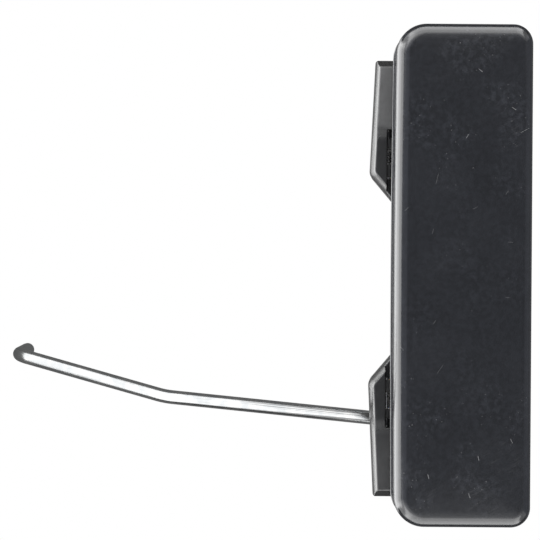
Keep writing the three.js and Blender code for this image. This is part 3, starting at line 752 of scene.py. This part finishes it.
def tube(name, path, radius, sides):
    """Wire along a path of points. Its section attribute holds a point of the wire as if it were
    straight, so that a texture can follow the wire."""
    points = [Vector(p) for p in path]
    stations = blunt_stations(points, radius)
    across = (points[1] - points[0]).normalized().orthogonal().normalized()
    angles = [2 * math.pi * k / sides for k in range(sides)]
    rings, sections, travelled = [], [], 0.0
    for i, (point, size) in enumerate(stations):
        before, after = stations[max(i - 1, 0)][0], stations[min(i + 1, len(stations) - 1)][0]
        tangent = (after - before).normalized()
        across = (across - tangent * across.dot(tangent)).normalized()
        up = tangent.cross(across)
        travelled += (point - before).length
        rings.append([
            point + across * (size * math.cos(a)) + up * (size * math.sin(a)) for a in angles])
        sections += [(radius * math.cos(a), radius * math.sin(a), travelled) for a in angles]
    piece = loft(name, rings)
    attribute = piece.data.attributes.new("section", "FLOAT_VECTOR", "POINT")
    attribute.data.foreach_set("vector", [value for section in sections for value in section])
    return piece


def bent_path(corners, bends, steps, spacing):
    """Points along straight runs and arcs: each inner corner turns on its bend radius."""
    corners = [Vector(c) for c in corners]
    points = [corners[0]]
    for i, radius in enumerate(bends):
        corner = corners[i + 1]
        arriving = (corner - corners[i]).normalized()
        leaving = (corners[i + 2] - corner).normalized()
        angle = arriving.angle(leaving)
        start = corner - arriving * (radius * math.tan(angle / 2))
        inwards = (leaving - arriving * leaving.dot(arriving)).normalized()
        points += straight(points[-1], start, spacing)
        for k in range(steps + 1):
            turn = angle * k / steps
            forwards, sideways = radius * math.sin(turn), radius * (1 - math.cos(turn))
            points.append(start + arriving * forwards + inwards * sideways)
    points += straight(points[-1], corners[-1], spacing)
    return points + [corners[-1]]


def straight(start, end, spacing):
    """Points between two ends, without them."""
    count = int((end - start).length / spacing)
    return [start.lerp(end, k / (count + 1)) for k in range(1, count + 1)]


ROD = {  # millimetres, and degrees above the horizontal for each run's rise
    "radius": 2.28, "pivot_z": -46.7, "pin_length": 8.7,
    "low_run": 73, "low_rise": 5.5, "high_run": 50.6, "high_rise": 15.5,
    "leg_rise": 0.6, "tip": 2, "bends": (2.9, 30, 3.3, 10),
}


def run(length, degrees):
    """A straight run to the left, given in millimetres."""
    angle = math.radians(degrees)
    return Vector((-math.cos(angle), 0, math.sin(angle))) * (length * MM)


def link_rod():
    """The wire from the crank's eye: two runs to the left, then a leg that points at the door."""
    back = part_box("link_rod")[1].y
    pivot = Vector((PIVOT.x, PIVOT.y, ROD["pivot_z"] * MM))
    bend = pivot + run(ROD["low_run"], ROD["low_rise"])
    leg_corner = bend + run(ROD["high_run"], ROD["high_rise"])
    tip = ROD["tip"] * MM
    tip_start = Vector((leg_corner.x, back - tip, leg_corner.z + ROD["leg_rise"] * MM))
    tip_end = tip_start + Vector((0, tip, 0))
    pin_end = pivot + Vector((0, 0, ROD["pin_length"] * MM))
    corners = [pin_end, pivot, bend, leg_corner, tip_start, tip_end]
    path = bent_path(corners, [radius * MM for radius in ROD["bends"]], 16, 3 * MM)
    piece = smooth_shaded(tube("link_wire", path, ROD["radius"] * MM, 40), 50)
    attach(stands_for(piece, "link_rod"), "link")
    return piece


SPRING = {  # millimetres
    "coil": 2.1, "wire": 0.4, "turns": 3.25, "pitch": 1.15, "start": 36.03,
    "bracket_leg": 6.4, "arm_leg": 5.6, "margin": 0.5,
}


def coil_points(coil, start, pitch):
    steps = 32
    points = []
    for i in range(int(SPRING["turns"] * steps) + 1):
        turn = i / steps
        angle = math.pi + 2 * math.pi * turn
        points.append(Vector((coil * math.cos(angle), coil * math.sin(angle), start + pitch * turn)))
    return points


def return_spring():
    """The torsion spring round the upper pin. One leg stays on the bracket, the other on the arm."""
    coil, wire, pitch, start = (SPRING[key] * MM for key in ("coil", "wire", "pitch", "start"))
    end = start + pitch * SPRING["turns"]
    bracket_leg = [Vector((-coil, y * MM, start)) for y in (SPRING["bracket_leg"], 3)]
    arm_leg = [Vector((x * MM, -coil, end)) for x in (3, SPRING["arm_leg"])]
    path = [HINGE + p for p in bracket_leg + coil_points(coil, start, pitch) + arm_leg]
    piece = smooth_shaded(tube("return_spring_coil", path, wire, 12), 50)
    stands_for(piece, "return_spring")
    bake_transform(piece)


# ---- Fasteners ----

# Millimetres.
THREAD = {"pitch": 0.8, "depth": 0.42, "chamfer": 0.8, "chamfer_depth": 0.5, "land": 0.02}
NUT = {"bore": 2.6, "bore_chamfer": 0.3, "chamfer": 0.75, "lead_in": 0.35}
NUT_FACE = 0.97  # the round face's radius as a share of the hexagon's inner radius


def circle(centre, y, size_at, sides):
    """A ring of points square to Y. Its radius at each angle comes from a function of the angle."""
    points = []
    for k in range(sides):
        angle = 2 * math.pi * k / sides
        size = size_at(angle)
        points.append((centre.x + size * math.cos(angle), y, centre.z + size * math.sin(angle)))
    return points


def threaded_stud(end):
    """A stud with a helical thread over its whole length and a chamfered tip."""
    low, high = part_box(f"{end}_stud")
    radius = (high.x - low.x) / 2
    pitch, depth, land = THREAD["pitch"] * MM, THREAD["depth"] * MM, THREAD["land"] * MM
    chamfer, chamfer_depth = THREAD["chamfer"] * MM, THREAD["chamfer_depth"] * MM
    steps = int((high.y - low.y) / (pitch / 8))
    rings = []
    for i in range(steps + 1):
        y = low.y + (high.y - low.y) * i / steps
        taper = min(1.0, (high.y - y) / chamfer) * chamfer_depth - chamfer_depth

        def thread(angle):
            phase = (y / pitch + angle / (2 * math.pi)) % 1.0
            groove = min(1.0, 1.35 * abs(2 * phase - 1)) * depth
            return min(radius, radius + taper + land) - groove

        rings.append(circle((low + high) / 2, y, thread, 40))
    piece = smooth_shaded(loft(f"{end}_threaded_stud", rings), 40)
    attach(stands_for(piece, f"{end}_stud"), "brackets")


def chamfered_nut(end):
    """A hexagon nut: its corners are turned off at both faces, and its bore is open."""
    low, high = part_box(f"{end}_nut")
    centre = (low + high) / 2
    flat = (high.x - low.x) / 2
    sixth = math.pi / 3
    corner = flat / math.cos(sixth / 2)
    face = flat * NUT_FACE

    def hexagon(y, limit):
        def size_at(angle):
            return min(flat / math.cos((angle + sixth / 2) % sixth - sixth / 2), limit)
        return circle(centre, y, size_at, 96)

    def bore(y, radius):
        return circle(centre, y, lambda angle: radius, 96)

    chamfer, lead_in, hole = NUT["chamfer"] * MM, NUT["lead_in"] * MM, NUT["bore"] * MM
    mouth = hole + NUT["bore_chamfer"] * MM
    shares = [k / 6 for k in range(7)]
    rings = [hexagon(low.y + chamfer * k, face + (corner - face) * k) for k in shares]
    rings += [hexagon(high.y - chamfer * k, face + (corner - face) * k) for k in reversed(shares)]
    rings += [bore(high.y, mouth), bore(high.y - lead_in, hole)]
    rings += [bore(low.y + lead_in, hole), bore(low.y, mouth), rings[0]]
    piece = smooth_shaded(loft(f"{end}_hex_nut", rings, capped=False), 25)
    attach(stands_for(piece, f"{end}_nut"), "brackets")


def refined(node, name, bevel):
    """A copy of a CAD node with its flat facets merged and its sharp edges given a small radius, in
    millimetres."""
    mesh = frame["nodes"][node].data.copy()
    shell = bmesh.new()
    shell.from_mesh(mesh)
    bmesh.ops.remove_doubles(shell, verts=shell.verts, dist=1e-6)
    bmesh.ops.dissolve_limit(
        shell, angle_limit=math.radians(0.5), verts=shell.verts, edges=shell.edges)
    shell.to_mesh(mesh)
    shell.free()
    piece = link_object(name, mesh)
    modifier = piece.modifiers.new("edges", "BEVEL")
    modifier.width = bevel * MM
    modifier.segments = 3
    modifier.limit_method = "ANGLE"
    modifier.angle_limit = math.radians(35)
    modifier.use_clamp_overlap = True
    smooth_shaded(evaluated(piece), 40)
    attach(stands_for(piece, node), BODY_OF[node])


# CAD node, the piece that is made from it, and the piece's edge radius in millimetres.
REFINED_AT_EACH_END = [
    ("washer", "flat_washer", 0.12),
    ("gasket", "foam_gasket", 0.2),
    ("bump_stop", "rubber_stop", 0.15),
    ("hinge_pin", "steel_pin", 0.2),
    ("hinge_arm", "cast_arm", 0.3),
    ("inner_bush", "inner_sleeve", 0.1),
    ("outer_bush", "outer_sleeve", 0.1),
]
REFINED_ONCE = [
    ("crank_bush", "crank_sleeve", 0.12),
    ("rod_clip", "rod_push_ring", 0.15),
    ("back_plate", "back_panel", 0.3),
]


def small_parts():
    for end in SIDES:
        threaded_stud(end)
        chamfered_nut(end)
        for node, name, bevel in REFINED_AT_EACH_END:
            refined(f"{end}_{node}", f"{end}_{name}", bevel)
    for node, name, bevel in REFINED_ONCE:
        refined(node, name, bevel)
    for node in frame["nodes"]:
        if node.startswith(("arm_screw_", "plate_screw_")):
            refined(node, f"{node}_fine", 0.15)


# ---- Camera, floor and light ----

CAMERA_PLACE = Vector((-46.9, -376.8, 2.4)) * MM
CAMERA_ROLL = math.radians(-0.4)
LENS = 78.25
FLOOR_HEIGHT = -1.7
FRONT = Vector((0, -1, 0))
WAYS = {"left": Vector((-1, 0, 0)), "right": Vector((1, 0, 0)),
        "top": Vector((0, 0, 1)), "bottom": Vector((0, 0, -1))}
ARC_RADIUS = 1.5
PANEL_LENGTH = 2.1
CORNER_LENGTH = 1.1
WHITE = (1.0, 1.0, 1.0)
SKY = (0.90, 0.96, 1.12)
PANELS = [  # side, start and end angles off the front axis in degrees, radiance, tint, what it lights
    ("right", -10, 50, 0.17, SKY, "rest"),
    ("right", 50, 92, 0.35, SKY, "all"),
    ("right", 92, 130, 0.15, SKY, "all"),
    ("left", 10, 58, 0.5, SKY, "rest"),
    ("left", 58, 82, 4.6, WHITE, "rest"),
    ("left", 82, 130, 6.8, WHITE, "rest"),
    ("left", 130, 152, 2.2, WHITE, "rest"),
    ("top", 22, 34, 1.2, WHITE, "rest"),
    ("top", 34, 58, 3.7, WHITE, "rest"),
    ("top", 58, 90, 4.9, WHITE, "rest"),
    ("bottom", 20, 34, 1.2, WHITE, "rest"),
    ("bottom", 34, 58, 3.6, WHITE, "rest"),
    ("bottom", 58, 94, 4.4, WHITE, "rest"),
    ("top_left", 40, 100, 2.2, WHITE, "rest"),
    ("bottom_left", 40, 100, 2.2, WHITE, "rest"),
    ("top_right", 44, 90, 0.9, WHITE, "rest"),
    ("bottom_right", 44, 90, 0.9, WHITE, "rest"),
    ("top", -72, 72, 1.12, WHITE, "wire"),
]


def camera():
    data = bpy.data.cameras.new("camera")
    data.lens = LENS
    data.sensor_width = 36.0
    data.clip_start = 0.01
    data.clip_end = 20.0
    view = bpy.data.objects.new("camera", data)
    view.location = CAMERA_PLACE
    view.rotation_euler = (math.pi / 2, CAMERA_ROLL, 0.0)
    bpy.context.scene.collection.objects.link(view)
    bpy.context.scene.camera = view


def floor():
    """A pale floor far below. Bounced light doesn't see it, so it throws no light up at the handle."""
    half = 6.0
    corners = [(-half, -half, FLOOR_HEIGHT), (half, -half, FLOOR_HEIGHT),
               (half, half, FLOOR_HEIGHT), (-half, half, FLOOR_HEIGHT)]
    plane = mesh_object("floor", corners, [(0, 1, 2, 3)])
    plane.data.materials.append(pale_floor("pale_floor"))
    plane.visible_diffuse = False
    plane.visible_glossy = False


def receivers(name, wire, state):
    """A set of receivers for a light: the wire only, or all but the wire, like a studio flag."""
    group = bpy.data.collections.new(name)
    group.objects.link(wire)
    group.collection_objects[0].light_linking.link_state = state
    return group


def panel(side, start, end, radiance, tint):
    """A soft light on an arc round the handle, from one angle off the front axis to another, towards
    a side. Its surface is as bright as the radiance all over."""
    middle = math.radians((start + end) / 2)
    ways = [WAYS[word] for word in side.split("_")]
    sideways = sum(ways, Vector()).normalized()
    outwards = sideways * math.sin(middle) + FRONT * math.cos(middle)
    along = sideways.cross(FRONT)
    name = f"{side}_{start}"
    data = bpy.data.lights.new(name, "AREA")
    data.shape = "RECTANGLE"
    data.size = 2 * ARC_RADIUS * math.tan(math.radians(end - start) / 2)
    data.size_y = PANEL_LENGTH if len(ways) == 1 else CORNER_LENGTH
    data.energy = 4 * data.size * data.size_y * radiance
    data.color = tint
    lamp = bpy.data.objects.new(name, data)
    turn = Matrix((along.cross(outwards), along, outwards)).transposed().to_4x4()
    lamp.matrix_world = Matrix.Translation(outwards * ARC_RADIUS) @ turn
    lamp.visible_camera = False
    bpy.context.scene.collection.objects.link(lamp)
    return lamp


def lights(wire):
    """The wire is bright metal beside black plastic, so it has a panel of its own."""
    lit = {
        "wire": receivers("wire_only", wire, "INCLUDE"),
        "rest": receivers("all_but_wire", wire, "EXCLUDE"),
    }
    for side, start, end, radiance, tint, reach in PANELS:
        lamp = panel(side, start, end, radiance, tint)
        if reach in lit:
            lamp.light_linking.receiver_collection = lit[reach]


def backdrop():
    """White behind the handle, and a dim even light from all round it."""
    world = bpy.data.worlds.new("studio")
    world.use_nodes = True
    tree = world.node_tree
    dim = tree.nodes["Background"]
    bright = tree.nodes.new("ShaderNodeBackground")
    for background, strength in ((dim, 0.15), (bright, 1.0)):
        background.inputs["Color"].default_value = (1.0, 1.0, 1.0, 1.0)
        background.inputs["Strength"].default_value = strength
    path = tree.nodes.new("ShaderNodeLightPath")
    mix = tree.nodes.new("ShaderNodeMixShader")
    tree.links.new(path.outputs["Is Camera Ray"], mix.inputs["Fac"])
    tree.links.new(dim.outputs[0], mix.inputs[1])
    tree.links.new(bright.outputs[0], mix.inputs[2])
    tree.links.new(mix.outputs[0], tree.nodes["World Output"].inputs["Surface"])
    bpy.context.scene.world = world
    bpy.context.scene.view_settings.view_transform = "Standard"


# ---- The handle in its studio ----

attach(paddle_cover(), "paddle")
for end_name, end_side in SIDES.items():
    bracket(end_name, end_side)
link_wire = link_rod()
return_spring()
small_parts()
camera()
floor()
lights(link_wire)
backdrop()
